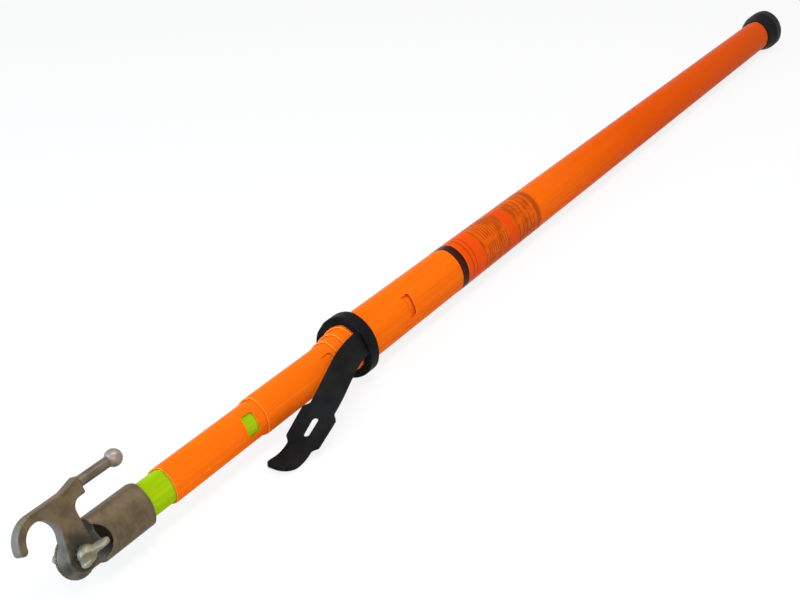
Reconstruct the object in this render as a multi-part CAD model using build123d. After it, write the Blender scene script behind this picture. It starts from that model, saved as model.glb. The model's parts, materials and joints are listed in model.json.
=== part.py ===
"""Telescoping hot stick: seven nested rounded-triangle tubes with a disconnect hook head.

X runs from the butt face (x = 0) along the stick to the hook, Z is up.
The stick lies on one flat side of its section, so one rounded corner of every tube points up.
Tubes and head are drawn in the face frame, where +Y is the outward normal of the button face
and +Z runs up that face, and are then turned by FACE_TILT about X. All sizes in millimetres.
"""
import os
from math import cos, radians, sin, sqrt

from build123d import *

# Tube section: six tangent arcs, three corners and three faces, offset inwards for each nested tube
SECTION_HEIGHT = 50.8        # base tube, outside, from a corner to the opposite face
CORNER_RADIUS = 14.0         # base tube, outside
FACE_RADIUS = 30.6           # base tube, outside
WALL = 1.4
SLIDE_GAP = 0.325            # between one tube and the next
FACE_TILT = 30.0             # button face above the horizontal

# Lengths along the stick
TUBES = 7                    # base tube, five sections and the tip
BASE_LENGTH = 1390.0
FIRST_LIP = 7.0              # lip of the second tube in front of the base tube
LIP_STEP = 13.0              # lip to lip when the stick is closed
REAR_GAP = 2.0
PULL_5 = 99.5                # how far three sections are drawn out as shown
PULL_6 = 105.0
PULL_7 = 14.0
LIP_BEVEL = 0.4

# Lock windows and buttons
BASE_WINDOW_SETBACK = 87.0   # window centre behind the lip
WINDOW_SETBACK = 100.0
WINDOW_LENGTH = 15.5
WINDOW_WIDTH = 23.5          # on the base tube
WINDOW_WIDTH_STEP = 0.9      # narrower on each smaller tube
WINDOW_CORNER = 3.5
BUTTON_PLAY = 0.5            # button inside a window, each side
BUTTON_HOLE_GAP = 0.3        # button inside its own tube, each side
BUTTON_POP = 3.4             # room for the button to rise, foot to tube wall
FOOT_LIP = 1.2               # foot wider than the button, each side
FOOT_THICKNESS = 2.5
FOOT_GAP = 0.4
PLUG_LENGTH = 40.0
GLUE_LINE = 0.05
SPRING_RISE = 7.5
SPRING_THICKNESS = 0.6
SPRING_WIDTH = 9.0
VENT_RADIUS = 1.8
VENT_WEB = 2.2               # plug left outside the vent

# Butt cap and collar
RUBBER_WALL = 6.8            # collar
RUBBER_FLAT = 0.8            # depth of the moulded flats they rest on
CAP_LENGTH = 62.0
CAP_WALL = 8.2
CAP_END_WALL = 10.0
CAP_PLUG = 12.0
CAP_TAPER_LENGTH = 34.0
CAP_MOUTH_WALL = 1.6
CAP_ROUND = 6.0
CAP_MOUTH_ROUND = 0.5
RING_LENGTH = 16.0
RING_LIP = 4.0               # turned in over the end of the base tube
RING_LIP_COVER = 0.9
RING_BEVEL = 1.2
RING_ROUND = 2.0

# Label
LABEL_FRONT_SETBACK = 205.0  # behind the base tube's lip
LABEL_LENGTH = 183.0
BAND_LENGTH = 13.0
FILM = 0.15

# Hold-down strap: twisted neck, slotted pad and turned-up tail
STRAP_THICKNESS = 3.5
STRAP_NECK_WIDTH = 24.1
STRAP_PAD_WIDTH = 33.6
STRAP_PAD_LENGTH = 42.4
STRAP_SHOULDER = 7.1
STRAP_SLOT_LENGTH = 20.5
STRAP_SLOT_WIDTH = 6.3
STRAP_ROOT_SET = 1.6         # root centre outside the base tube's face
STRAP_REACH = 94.5           # root to pad, forward
STRAP_SPLAY = 19.0           # root to pad, sideways
STRAP_DROP = 14.8            # root to pad, down
STRAP_PITCH = 29.0           # pad below the horizontal
STRAP_PAD_TWIST = 14.0       # left at the pad's near end, none at its far end
STRAP_TAIL_RUN = 20.0
STRAP_TAIL_TURN = 36.0       # tail turned up from the pad's slope
STRAP_TAIL_END = 14.0
STRAP_TAIL_ROUND = 13.5      # corner away from the stick
STRAP_TAIL_NEAR_ROUND = 5.0

# Ferrule with the serrated seat
FERRULE_WALL = 4.05          # round the tip tube
FERRULE_BODY = 53.0          # rear edge to the seat's back wall
SOCKET_DEPTH = 28.0
FERRULE_WEB = 5.0
FERRULE_HOLLOW_WALL = 1.9
SCOOP_START = 41.3           # slanted mouth, from the rear edge
SCOOP_SLOPE = 58.5
SCOOP_SKEW = -6.0            # mouth turned about the face's normal
FERRULE_ROUND = 1.4
SEAT_GAP = 0.1
SEAT_RADIUS = 17.5
SEAT_EDGE = 2.0              # thickness of the seat's rim
SEAT_BACK = 12.0             # depth of the boss behind the seat
SEAT_BACK_RADIUS = 10.5
TONGUE_SLOPE_RUN = 9.0       # body's back fades to the boss, from the back wall
TOOTH_COUNT = 36
TOOTH_DEPTH = 0.8
TOOTH_WIDTH = 1.2
TOOTH_INNER = 9.0

# Hook, in its own plane: forward and up from the pivot
PIVOT_AHEAD = 68.2           # in front of the ferrule's rear edge
PIVOT_DROP = 2.7             # below the stick's axis, along the face
HOOK_THICKNESS = 9.5
BOSS_RADIUS = 13.0
BOSS_FLARE = 17.1            # at the serrated face
BOSS_FLARE_HEIGHT = 6.2
STEM_FRONT = 7.0
STEM_BACK = 12.5
THROAT_RADIUS = 14.5
THROAT_UP = 25.5
LIMB_WIDTH = 7.4
LIMB_END_ANGLE = 7.0
BLOCK_BACK = 27.0
BLOCK_LOW = 36.8
BLOCK_TOP = 51.6
BLOCK_SLOPE_RUN = 17.0
CROTCH_RADIUS = 8.0
OUTLINE_ROUND = 1.5
CAST_ROUND = 1.1
PIN_UP = 45.5
PIN_RADIUS = 4.5
PIN_LENGTH = 38.0            # block face to the ball's centre
PIN_BALL_RADIUS = 7.3
PIN_STUD_RADIUS = 2.5
PIN_STUD_LENGTH = 12.0

# Wing bolt and washer
BOLT_RADIUS = 4.0
BOLT_GAP = 0.05
BOLT_STICK_OUT = 16.0
BOLT_END_ROUND = 1.5
WASHER_RADIUS = 8.5
WASHER_THICKNESS = 1.6
HUB_RADIUS = 7.4
HUB_HEIGHT = 9.0
WING_REACH = 16.8
WING_TURN = 14.0             # as left in the seat
WING_HEIGHT = 18.8
WING_RADIUS = 5.6
WING_THICKNESS = 5.0
WING_ROUND = 1.2

# Values worked out from the sizes above
MIS_FIT = SECTION_HEIGHT - CORNER_RADIUS - FACE_RADIUS
ARC_DIFF = FACE_RADIUS - CORNER_RADIUS
FACE_CENTRE = (sqrt(12 * ARC_DIFF**2 - 3 * MIS_FIT**2) - 3 * MIS_FIT) / 6
CORNER_CENTRE = FACE_CENTRE + MIS_FIT
BASE_FACE = FACE_RADIUS - FACE_CENTRE          # axis to the middle of a face
REST_LEVEL = BASE_FACE + RUBBER_WALL - RUBBER_FLAT
BASE_REAR = CAP_END_WALL
BASE_FRONT = BASE_REAR + BASE_LENGTH
STEP = WALL + SLIDE_GAP
PULLED = {5: PULL_5, 6: PULL_5 + PULL_6, 7: PULL_5 + PULL_6 + PULL_7}
SECTIONS = range(2, TUBES + 1)


def inset(k):
    """How far the outside of tube k lies inside the base tube's outside."""
    return (k - 1) * STEP


def rear_x(k):
    closed = BASE_REAR + CAP_PLUG + REAR_GAP + (k - 2) * (PLUG_LENGTH + REAR_GAP)
    return closed + PULLED.get(k, 0.0)


def lip_x(k):
    """Front lip of tube k, or the ferrule's rear edge for the tip."""
    if k == 1:
        return BASE_FRONT
    return BASE_FRONT + FIRST_LIP + (k - 2) * LIP_STEP + PULLED.get(k, 0.0)


def window_width(k):
    return WINDOW_WIDTH - (k - 1) * WINDOW_WIDTH_STEP


FERRULE_REAR = lip_x(TUBES)
PIVOT_X = FERRULE_REAR + PIVOT_AHEAD
SEAT_WALL = FERRULE_REAR + FERRULE_BODY
THROAT_AHEAD = STEM_FRONT + THROAT_RADIUS
RING_FRONT = BASE_FRONT + RING_LIP


def section(depth):
    """Rounded-triangle face, its outline lying depth inside the base tube's outside."""
    corner, face = CORNER_RADIUS - depth, FACE_RADIUS - depth
    arcs = []
    for turn in (60, 180, 300):
        centre = Vector(CORNER_CENTRE, 0).rotate(Axis.Z, turn)
        before = Vector(FACE_CENTRE, 0).rotate(Axis.Z, turn + 120)
        after = Vector(FACE_CENTRE, 0).rotate(Axis.Z, turn - 120)
        start = centre + (centre - before).normalized() * corner
        end = centre + (centre - after).normalized() * corner
        tip = Vector(CORNER_CENTRE + corner, 0).rotate(Axis.Z, turn)
        arcs.append(ThreePointArc(start, tip, end))
        flank = Vector(face - FACE_CENTRE, 0).rotate(Axis.Z, turn + 60)
        following = Vector(CORNER_CENTRE, 0).rotate(Axis.Z, turn + 120)
        join = following + (following - after).normalized() * corner
        arcs.append(ThreePointArc(end, flank, join))
    return Face(Wire(arcs))


def across(x):
    """Plane across the stick at x, with its own axes along the face frame's Y and Z."""
    return Plane(origin=(x, 0, 0), x_dir=(0, 1, 0), z_dir=(1, 0, 0))


def prism(depth, start, end):
    return extrude(across(start) * section(depth), end - start)


def outward(x, up=0.0):
    """Plane through the axis facing out of the button face, its X along the stick."""
    return Plane(origin=(x, 0, up), x_dir=(1, 0, 0), z_dir=(0, 1, 0))


def block(x, length, width, low, high, corner=0.0):
    """Rounded block on the button face's centre line, from low to high along the normal."""
    outline = RectangleRounded(length, width, corner) if corner else Rectangle(length, width)
    return extrude(outward(x).offset(low) * outline, high - low)


def tube(k):
    outer = inset(k)
    start = BASE_REAR if k == 1 else rear_x(k)
    end = FERRULE_REAR + SOCKET_DEPTH if k == TUBES else lip_x(k)
    body = prism(outer, start, end) - prism(outer + WALL, start, end)
    body = chamfer(body.edges().group_by(Axis.X)[-1], LIP_BEVEL)
    if k < TUBES:
        setback = BASE_WINDOW_SETBACK if k == 1 else WINDOW_SETBACK
        body -= block(lip_x(k) - setback, WINDOW_LENGTH, window_width(k), 0, SECTION_HEIGHT, WINDOW_CORNER)
    if k > 1:
        gap = 2 * (BUTTON_HOLE_GAP - BUTTON_PLAY)
        body -= block(button_x(k), WINDOW_LENGTH + gap, window_width(k - 1) + gap, 0, SECTION_HEIGHT,
                      WINDOW_CORNER)
    return body


def button_x(k):
    return rear_x(k) + PLUG_LENGTH / 2


def foot_top(k):
    return BASE_FACE - inset(k) - WALL - BUTTON_POP


def foot_size(k):
    spread = 2 * (FOOT_LIP - BUTTON_PLAY)
    return WINDOW_LENGTH + spread, window_width(k - 1) + spread


def lock_button(k):
    x, top = button_x(k), foot_top(k)
    length, width = WINDOW_LENGTH - 2 * BUTTON_PLAY, window_width(k - 1) - 2 * BUTTON_PLAY
    head = block(x, length, width, top - FOOT_THICKNESS, SECTION_HEIGHT, WINDOW_CORNER - BUTTON_PLAY)
    head &= prism(inset(k), x - length, x + length)
    foot = block(x, *foot_size(k), top - FOOT_THICKNESS, top)
    return head + foot


def spring_floor(k):
    return foot_top(k) - FOOT_THICKNESS - SPRING_RISE


def button_plug(k):
    start = rear_x(k)
    body = prism(inset(k) + WALL + GLUE_LINE, start, start + PLUG_LENGTH)
    length, width = foot_size(k)
    body -= block(button_x(k), length + 2 * FOOT_GAP, width + 2 * FOOT_GAP, spring_floor(k), SECTION_HEIGHT)
    tail = CORNER_CENTRE + CORNER_RADIUS - inset(k) - WALL - GLUE_LINE
    vent = Pos(0, VENT_WEB + VENT_RADIUS - tail) * Rot(Z=90) * Circle(VENT_RADIUS)
    vent = Plane(origin=(start, 0, 0), x_dir=(0, 0, -1), z_dir=(1, 0, 0)) * vent
    return body - extrude(vent, PLUG_LENGTH)


def button_spring(k):
    """Bowed leaf, its ends on the plug and its crown under the button's foot."""
    half = foot_size(k)[0] / 2
    radius = (half**2 + SPRING_RISE**2) / (2 * SPRING_RISE)
    low = spring_floor(k)
    rim = Plane(origin=(button_x(k), 0, 0), x_dir=(1, 0, 0), z_dir=(0, 0, 1))
    bow = Circle(radius) - Circle(radius - SPRING_THICKNESS)
    bow = Pos(0, low + SPRING_RISE - radius) * bow
    keep = Pos(0, low + SPRING_RISE / 2) * Rectangle(2 * half, SPRING_RISE)
    return extrude(rim.offset(-SPRING_WIDTH / 2) * (bow & keep), SPRING_WIDTH)


def cut_flats(body, start, end, turns):
    """Moulded flats on the sides of a rubber piece, counted round from the button face."""
    for turn in turns:
        slab = block((start + end) / 2, end - start, 2 * SECTION_HEIGHT, REST_LEVEL, 2 * SECTION_HEIGHT)
        body -= Rot(X=turn) * slab
    return body


def butt_cap():
    shoulder = CAP_LENGTH - CAP_TAPER_LENGTH
    body = prism(-CAP_WALL, 0, shoulder)
    body = fillet(body.edges().group_by(Axis.X)[0], CAP_ROUND)
    body += loft([across(shoulder) * section(-CAP_WALL), across(CAP_LENGTH) * section(-CAP_MOUTH_WALL)])
    body = fillet(body.edges().group_by(Axis.X)[-1], CAP_MOUTH_ROUND)
    body = cut_flats(body, 0, CAP_LENGTH, (240,))
    groove = prism(-GLUE_LINE, BASE_REAR, CAP_LENGTH)
    groove -= prism(WALL + GLUE_LINE, BASE_REAR, BASE_REAR + CAP_PLUG)
    return body - groove


def collar_ring():
    start = RING_FRONT - RING_LENGTH
    body = prism(-RUBBER_WALL, start, RING_FRONT)
    body = chamfer(body.edges().group_by(Axis.X)[-1], RING_BEVEL)
    body = fillet(body.edges().group_by(Axis.X)[0], RING_ROUND)
    body = cut_flats(body, start, RING_FRONT, (0, 120, 240))
    body -= prism(-GLUE_LINE, start, BASE_FRONT)
    return body - prism(RING_LIP_COVER, BASE_FRONT, RING_FRONT)


def film(start, end):
    return prism(-GLUE_LINE - FILM, start, end) - prism(-GLUE_LINE, start, end)


def strap_plane(spot, along, twist):
    """Plane across the strap; twist is how far its right edge drops from level."""
    side = Vector(0, cos(radians(twist)), -sin(radians(twist)))
    return Plane(origin=spot, x_dir=(side - along * side.dot(along)).normalized(), z_dir=along)


def strap_section(spot, along, twist, width):
    return strap_plane(spot, along, twist) * Rectangle(width, STRAP_THICKNESS)


def hold_strap():
    """Strap in the row's own frame: the neck twists from the collar's face to a level pad."""
    tilt = radians(FACE_TILT)
    root_out = BASE_FACE + STRAP_ROOT_SET
    root = Vector(RING_FRONT, root_out * cos(tilt), root_out * sin(tilt))
    pad = root + Vector(STRAP_REACH, STRAP_SPLAY, -STRAP_DROP)
    leave = Vector(1, 0, 0)
    pitch = radians(STRAP_PITCH)
    arrive = Vector(cos(pitch), 0, -sin(pitch))
    span = (pad - root).length
    stations = []
    count = 7
    for i in range(count):
        t = i / (count - 1)
        spot = (root * (2 * t**3 - 3 * t**2 + 1) + leave * (span * (t**3 - 2 * t**2 + t))
                + pad * (3 * t**2 - 2 * t**3) + arrive * (span * (t**3 - t**2)))
        along = (root * (6 * t**2 - 6 * t) + leave * (span * (3 * t**2 - 4 * t + 1))
                 + pad * (6 * t - 6 * t**2) + arrive * (span * (3 * t**2 - 2 * t))).normalized()
        twist = STRAP_PAD_TWIST + (90 - FACE_TILT - STRAP_PAD_TWIST) * (1 - t) ** 1.5
        stations.append(strap_section(spot, along, twist, STRAP_NECK_WIDTH))
    neck = loft(stations)

    outline = ((0, STRAP_NECK_WIDTH), (STRAP_SHOULDER, STRAP_PAD_WIDTH),
               (STRAP_PAD_LENGTH - STRAP_SHOULDER, STRAP_PAD_WIDTH), (STRAP_PAD_LENGTH, STRAP_NECK_WIDTH))
    untwist = STRAP_PAD_TWIST / STRAP_PAD_LENGTH
    plate = loft([strap_section(pad + arrive * run, arrive, STRAP_PAD_TWIST - untwist * run, width)
                  for run, width in outline], ruled=True)
    middle = Plane(origin=pad + arrive * (STRAP_PAD_LENGTH / 2), x_dir=arrive,
                   z_dir=strap_plane(pad, arrive, STRAP_PAD_TWIST / 2).y_dir)
    slot = SlotOverall(STRAP_SLOT_LENGTH, STRAP_SLOT_WIDTH)
    plate -= extrude(middle.offset(-2 * STRAP_THICKNESS) * slot, 4 * STRAP_THICKNESS)

    tip = pad + arrive * STRAP_PAD_LENGTH
    turn_radius = STRAP_TAIL_RUN / radians(STRAP_TAIL_TURN)
    end_face = strap_section(tip, arrive, 0, STRAP_NECK_WIDTH)
    hinge_line = Axis(tip + Vector(sin(pitch), 0, cos(pitch)) * turn_radius, (0, 1, 0))
    curl = revolve(end_face, hinge_line, -STRAP_TAIL_TURN)
    last = end_face.rotate(hinge_line, -STRAP_TAIL_TURN)
    lip = extrude(last, STRAP_TAIL_END)
    corners = lip.edges().filter_by(lambda e: abs(e.length - STRAP_THICKNESS) < 1e-3).sort_by(Axis.X)[-2:]
    near, far = corners.sort_by(Axis.Y)
    lip = fillet(far, STRAP_TAIL_ROUND)
    near = lip.edges().sort_by_distance(near.center())[0]
    lip = fillet(near, STRAP_TAIL_NEAR_ROUND)
    return neck + plate + curl + lip


def hook_plane(sketch, start, end):
    """Solid from a sketch drawn forward and up from the pivot, between two depths along the normal."""
    base = Plane(origin=(PIVOT_X, start, -PIVOT_DROP), x_dir=(1, 0, 0), z_dir=(0, -1, 0))
    return extrude(base * sketch, start - end)


def behind_seat(depth):
    """Plane on the pivot's axis, facing back from the seat."""
    return Plane(origin=(PIVOT_X, -depth, -PIVOT_DROP), x_dir=(1, 0, 0), z_dir=(0, -1, 0))


def spline_ferrule():
    outer = inset(TUBES) - FERRULE_WALL
    reach = 2 * SECTION_HEIGHT
    body = prism(outer, FERRULE_REAR, SEAT_WALL)
    body = fillet(body.edges().group_by(Axis.X)[0], FERRULE_ROUND)
    body -= prism(inset(TUBES) - GLUE_LINE, FERRULE_REAR, FERRULE_REAR + SOCKET_DEPTH)
    hollow_start = FERRULE_REAR + SOCKET_DEPTH + FERRULE_WEB
    body -= prism(outer + FERRULE_HOLLOW_WALL, hollow_start, SEAT_WALL)
    skew = radians(SCOOP_SKEW)
    scoop = Plane(origin=(FERRULE_REAR + SCOOP_START, BASE_FACE - outer, 0),
                  x_dir=(cos(skew), 0, sin(skew)), z_dir=(-sin(skew), 0, cos(skew)))
    wedge = Polyline((0, 0), (reach * sin(radians(SCOOP_SLOPE)), -reach * cos(radians(SCOOP_SLOPE))),
                     (2 * reach, 0), close=True)
    body -= extrude(scoop.offset(-reach) * make_face(wedge), 2 * reach)

    side = Plane(origin=(SEAT_WALL, 0, 0), x_dir=(1, 0, 0), z_dir=(0, 0, 1))
    run = PIVOT_X - SEAT_WALL
    fade = make_face(Polyline((0, 0), (run, 0), (run, -SEAT_BACK), (TONGUE_SLOPE_RUN, -SEAT_BACK),
                              (0, -reach), close=True))
    tongue = prism(outer, SEAT_WALL, PIVOT_X) & extrude(side.offset(-reach) * fade, 2 * reach)
    tongue += behind_seat(0) * Cylinder(SEAT_RADIUS, SEAT_EDGE, align=(Align.CENTER, Align.CENTER, Align.MIN))
    back = Cone(SEAT_RADIUS - SEAT_EDGE / 2, SEAT_BACK_RADIUS, SEAT_BACK - SEAT_EDGE,
                align=(Align.CENTER, Align.CENTER, Align.MIN))
    tongue += behind_seat(SEAT_EDGE) * back
    teeth_run = SEAT_RADIUS - TOOTH_INNER
    groove = Pos(TOOTH_INNER + teeth_run / 2, 0) * Rectangle(teeth_run, TOOTH_WIDTH)
    for i in range(TOOTH_COUNT):
        tongue -= hook_plane(Rot(Z=360 / TOOTH_COUNT * i) * groove, -TOOTH_DEPTH, 0)
    return body + tongue - hook_plane(Circle(BOLT_RADIUS + BOLT_GAP), -reach, reach)


def hook_casting():
    centre = Pos(THROAT_AHEAD, THROAT_UP)
    rim = THROAT_RADIUS + LIMB_WIDTH
    limb = centre * Circle(rim) & centre * Rot(Z=LIMB_END_ANGLE) * Pos(0, rim) * Rectangle(2 * rim, 2 * rim)
    limb += centre * Rot(Z=LIMB_END_ANGLE) * Pos(rim - LIMB_WIDTH / 2, 0) * Circle(LIMB_WIDTH / 2)
    top = THROAT_UP + rim
    stem = make_face(Polyline((-STEM_BACK, 0), (-STEM_BACK, BLOCK_LOW), (-BLOCK_BACK, BLOCK_LOW),
                              (-BLOCK_BACK, BLOCK_TOP), (BLOCK_SLOPE_RUN - BLOCK_BACK, top),
                              (THROAT_AHEAD, top),
                              (THROAT_AHEAD, THROAT_UP), (STEM_FRONT, THROAT_UP), (STEM_BACK, 0), close=True))
    outline = Circle(BOSS_RADIUS) + stem + limb - centre * Circle(THROAT_RADIUS)
    crotch = outline.vertices().sort_by_distance((-STEM_BACK, BLOCK_LOW))[0]
    outline = fillet(crotch, CROTCH_RADIUS)
    for amount in (-OUTLINE_ROUND, 2 * OUTLINE_ROUND, -OUTLINE_ROUND):
        outline = offset(outline, amount, kind=Kind.ARC)
    body = hook_plane(outline, SEAT_GAP, SEAT_GAP + HOOK_THICKNESS)
    rims = body.edges().group_by(Axis.Y)
    body = fillet(rims[-1] + rims[0], CAST_ROUND)
    seat = Plane(origin=(PIVOT_X, SEAT_GAP, -PIVOT_DROP), x_dir=(1, 0, 0), z_dir=(0, 1, 0))
    body += seat * Cone(BOSS_FLARE, BOSS_RADIUS - CAST_ROUND, BOSS_FLARE_HEIGHT,
                        align=(Align.CENTER, Align.CENTER, Align.MIN))
    body -= hook_plane(Circle(BOLT_RADIUS + BOLT_GAP), 0, 2 * HOOK_THICKNESS)
    stud = Plane(origin=hook_point(-BLOCK_BACK, PIN_UP), x_dir=(0, 1, 0), z_dir=(1, 0, 0))
    return body - stud * Cylinder(PIN_STUD_RADIUS, PIN_STUD_LENGTH,
                                  align=(Align.CENTER, Align.CENTER, Align.MIN))


def hook_point(ahead, up):
    """Point in the middle of the hook's thickness."""
    return Vector(PIVOT_X + ahead, SEAT_GAP + HOOK_THICKNESS / 2, up - PIVOT_DROP)


def pull_pin():
    face = Plane(origin=hook_point(-BLOCK_BACK, PIN_UP), x_dir=(0, 1, 0), z_dir=(-1, 0, 0))
    shank = Cylinder(PIN_RADIUS, PIN_LENGTH, align=(Align.CENTER, Align.CENTER, Align.MIN))
    stud = Cylinder(PIN_STUD_RADIUS, PIN_STUD_LENGTH, align=(Align.CENTER, Align.CENTER, Align.MAX))
    ball = Pos(0, 0, PIN_LENGTH) * Sphere(PIN_BALL_RADIUS)
    return face * (shank + stud + ball)


def wing_bolt():
    under = SEAT_GAP + HOOK_THICKNESS + 2 * BOLT_GAP + WASHER_THICKNESS
    tail = SEAT_BACK + BOLT_STICK_OUT
    shank = hook_plane(Circle(BOLT_RADIUS), -tail, under)
    shank = fillet(shank.edges().group_by(Axis.Y)[0], BOLT_END_ROUND)
    hub = hook_plane(Circle(HUB_RADIUS), under, under + HUB_HEIGHT)
    hub = fillet(hub.edges().group_by(Axis.Y)[-1], WING_ROUND)
    side = Plane(origin=(PIVOT_X, under, -PIVOT_DROP), x_dir=(1, 0, 0), z_dir=(0, 0, 1))
    tip = Pos(WING_REACH - WING_RADIUS, WING_HEIGHT - WING_RADIUS) * Circle(WING_RADIUS)
    root = make_face(Polyline((0, 1), (HUB_RADIUS, 1), (WING_REACH, WING_HEIGHT - WING_RADIUS),
                              (WING_REACH - 2 * WING_RADIUS, WING_HEIGHT - WING_RADIUS),
                              (0, HUB_HEIGHT - 1), close=True))
    wing = extrude(side.offset(-WING_THICKNESS / 2) * (tip + root), WING_THICKNESS)
    to_pivot = Pos(PIVOT_X, 0, -PIVOT_DROP)
    wings = [to_pivot * Rot(Y=WING_TURN + turn) * to_pivot.inverse() * wing for turn in (0, 180)]
    return shank + hub + wings[0] + wings[1]


def lock_washer():
    low = SEAT_GAP + HOOK_THICKNESS + BOLT_GAP
    ring = Circle(WASHER_RADIUS) - Circle(BOLT_RADIUS + BOLT_GAP)
    return hook_plane(ring, low, low + WASHER_THICKNESS)


def face_frame_nodes():
    label_front = BASE_FRONT - LABEL_FRONT_SETBACK
    nodes = {"base_tube": tube(1), "tip_tube": tube(TUBES)}
    nodes |= {f"section_tube_{k}": tube(k) for k in SECTIONS if k < TUBES}
    for k in SECTIONS:
        nodes |= {f"button_plug_{k}": button_plug(k), f"lock_button_{k}": lock_button(k),
                  f"button_spring_{k}": button_spring(k)}
    nodes |= {"butt_cap": butt_cap(), "collar_ring": collar_ring(),
              "label_wrap": film(label_front - LABEL_LENGTH, label_front),
              "index_band": film(label_front, label_front + BAND_LENGTH),
              "spline_ferrule": spline_ferrule(), "hook_casting": hook_casting(), "pull_pin": pull_pin(),
              "wing_bolt": wing_bolt(), "lock_washer": lock_washer()}
    return nodes


def main():
    os.makedirs("parts", exist_ok=True)
    nodes = {name: Rot(X=FACE_TILT) * body for name, body in face_frame_nodes().items()}
    nodes["hold_strap"] = hold_strap()
    for name, body in nodes.items():
        export_step(body, f"parts/{name}.step")


main()
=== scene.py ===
import json
from math import cos, pi, radians, sin, sqrt

import bmesh
import bpy
from mathutils import Matrix, Vector

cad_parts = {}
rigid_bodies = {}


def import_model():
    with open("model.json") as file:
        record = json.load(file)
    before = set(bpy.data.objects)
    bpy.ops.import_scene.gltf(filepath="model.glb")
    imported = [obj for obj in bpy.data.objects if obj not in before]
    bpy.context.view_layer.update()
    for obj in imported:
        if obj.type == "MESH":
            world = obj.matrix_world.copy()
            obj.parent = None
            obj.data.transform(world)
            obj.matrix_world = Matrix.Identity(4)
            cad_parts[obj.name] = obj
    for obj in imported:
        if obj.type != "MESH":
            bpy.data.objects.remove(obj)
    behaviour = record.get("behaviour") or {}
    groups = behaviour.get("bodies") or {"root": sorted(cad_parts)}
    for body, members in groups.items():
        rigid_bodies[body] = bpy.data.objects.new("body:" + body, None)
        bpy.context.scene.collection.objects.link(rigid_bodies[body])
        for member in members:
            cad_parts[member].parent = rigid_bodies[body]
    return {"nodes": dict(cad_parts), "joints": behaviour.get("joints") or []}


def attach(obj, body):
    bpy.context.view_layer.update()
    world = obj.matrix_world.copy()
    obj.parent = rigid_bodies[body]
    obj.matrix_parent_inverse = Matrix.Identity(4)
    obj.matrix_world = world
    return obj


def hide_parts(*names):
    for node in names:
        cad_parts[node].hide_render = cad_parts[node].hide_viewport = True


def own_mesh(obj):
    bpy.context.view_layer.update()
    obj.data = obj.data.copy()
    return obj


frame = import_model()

MM = 0.001
MERGE, CAD_MERGE = 1e-6, 2e-6        # metres within which corners are one
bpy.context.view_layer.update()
node_objects = frame["nodes"]

# Face frame of the stick: along the stick, out of the button face, and up that face
ALONG = Vector((1, 0, 0))
OUTWARD = Vector((0, cos(radians(30)), sin(radians(30))))
UPFACE = ALONG.cross(OUTWARD)
FACE_FRAME = Matrix((ALONG, OUTWARD, UPFACE)).transposed().to_4x4()

# Where things sit, in millimetres; the bolt and the ball are given in the face frame
FLOOR_LEVEL = -30.285
BOLT_ALONG, BOLT_UP, HOOK_FACE = 1758.7, -2.7, 9.6
PIN_BALL, BALL_RADIUS = (1693.7, 4.85, 42.8), 7.3
LABEL_FRONT, LABEL_LENGTH = 1195.0, 183.0
BAND_REAR, BAND_FRONT = 1196.0, 1207.5
# painted shade: the base tube darkens from the first spot to the second, as the light falls off towards the butt
BUTT_SHADE_START, BUTT_SHADE_FULL = 1150.0, 600.0

# Where the bolt goes into the hook, and the ball of the pin, in the row's frame and in metres
BOLT_FACE = FACE_FRAME @ Vector((BOLT_ALONG, HOOK_FACE, BOLT_UP)) * MM
BALL_CENTRE = FACE_FRAME @ Vector(PIN_BALL) * MM

SECTIONS = range(2, 8)               # numbers of the sliding tubes, the tip among them


# ---------------------------------------------------------------- mesh helpers

def new_piece(name, mesh):
    piece = bpy.data.objects.new(name, mesh)
    bpy.context.scene.collection.objects.link(piece)
    return piece


def plain_mesh(piece):
    """The piece as its modifiers leave it, as a plain mesh on the same object."""
    bpy.context.view_layer.update()
    seen = piece.evaluated_get(bpy.context.evaluated_depsgraph_get())
    mesh = bpy.data.meshes.new_from_object(seen)
    mesh.name = piece.name
    piece.modifiers.clear()
    piece.data = mesh


def smooth(mesh):
    mesh.polygons.foreach_set("use_smooth", [True] * len(mesh.polygons))


def wear_finish(piece, body, slot, material, *stands_for):
    """Hands a finished piece to its body, with its finish and the CAD nodes that it stands for."""
    if material is not None:
        piece.data.materials.clear()
        piece.data.materials.append(material)
    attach(piece, body)
    if stands_for:
        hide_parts(*stands_for)


def turned_shape(mesh_editor, profile, steps, place):
    """Closed turned shape from (radius, height) points, with its axis along local Z."""
    round_steps = [(cos(2 * pi * i / steps), sin(2 * pi * i / steps)) for i in range(steps)]
    rings = []
    for radius, height in profile:
        spots = [(radius * x, radius * y, height) for x, y in round_steps] if radius else [(0, 0, height)]
        rings.append([mesh_editor.verts.new(place @ Vector(spot)) for spot in spots])
    for low, high in zip(rings, rings[1:]):
        for i in range(steps):
            j = (i + 1) % steps
            if len(low) == 1:
                mesh_editor.faces.new((low[0], high[j], high[i]))
            elif len(high) == 1:
                mesh_editor.faces.new((low[i], low[j], high[0]))
            else:
                mesh_editor.faces.new((low[i], low[j], high[j], high[i]))


def flat_plate(mesh_editor, outline, half_thickness):
    """Plate from an outline in X and Y."""
    bottom = [mesh_editor.verts.new((x, y, -half_thickness)) for x, y in outline]
    top = [mesh_editor.verts.new((x, y, half_thickness)) for x, y in outline]
    mesh_editor.faces.new(bottom[::-1])
    mesh_editor.faces.new(top)
    for i in range(len(outline)):
        j = (i + 1) % len(outline)
        mesh_editor.faces.new((bottom[i], bottom[j], top[j], top[i]))


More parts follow.
